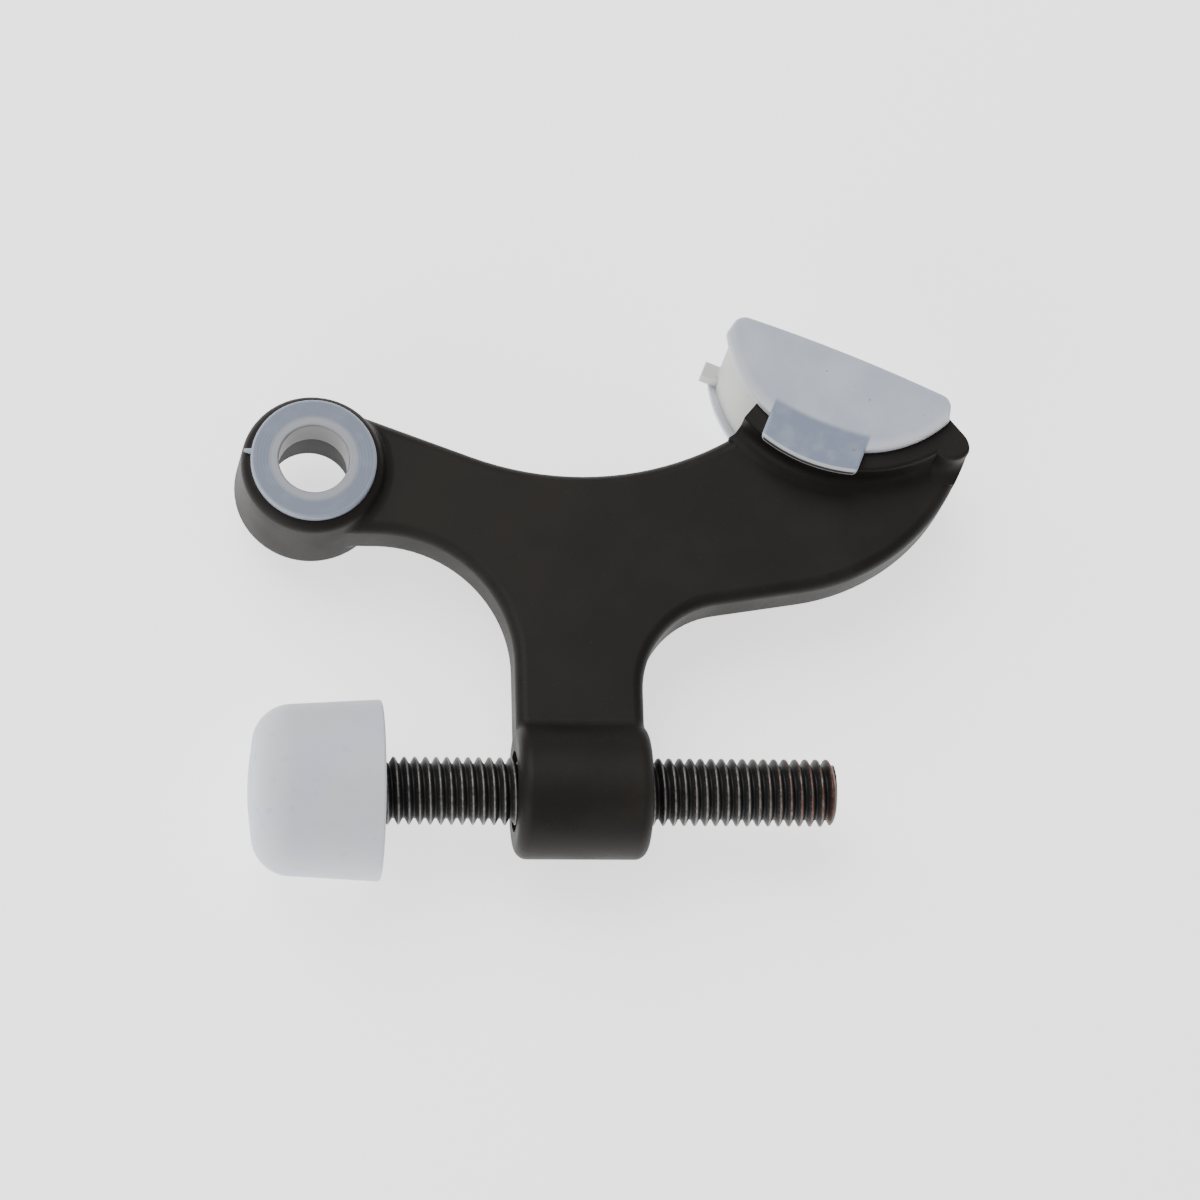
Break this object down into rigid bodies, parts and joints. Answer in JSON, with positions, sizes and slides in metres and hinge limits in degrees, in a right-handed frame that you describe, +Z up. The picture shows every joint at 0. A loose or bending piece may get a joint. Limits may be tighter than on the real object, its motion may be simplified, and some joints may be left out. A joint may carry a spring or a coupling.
{
  "type": "hinge pin door stop",
  "caption": "Cast hinge-pin door stop with a bushed eye, an adjustable screwed rod with a soft bumper, and a half-moon pad on a saddle.",
  "frame": {"origin": "on the axis of the hinge-pin bore, halfway through the arm's flat web", "axes": "+Z up the hinge-pin bore, +X along the screwed rod from the bumper to its free end, +Y from the rod towards the pad"},
  "size_m": [0.0879, 0.0677, 0.0212],
  "materials": {
    "bronze_coat": "satin oil-rubbed bronze coat",
    "natural_nylon": "natural translucent moulded plastic",
    "black_oxide_steel": "black oxide with worn crests",
    "white_rubber": "matt white",
    "clear_plastic": "translucent moulded plastic"
  },
  "bodies": {
    "arm": {"stop_body": "bronze_coat", "pin_bush": "natural_nylon", "arm_pad": "clear_plastic"},
    "bumper": {"rod_bumper": "white_rubber"},
    "rod": {"adjusting_rod": "black_oxide_steel"}
  },
  "joints": [
    {"name": "rod_travel", "type": "slide", "parent": "arm", "child": "bumper", "axis": [1, 0, 0], "range_m": [-0.0222, 0.0154]},
    {"name": "rod_turn", "type": "hinge", "parent": "bumper", "child": "rod", "pos_m": [0, -0.0388, 0], "axis": [1, 0, 0], "range_deg": [-6393.6, 4435.2]}
  ],
  "couplings": [
    {"joint": "rod_turn", "follows": "rod_travel", "rad_per_m": 5026.5}
  ]
}
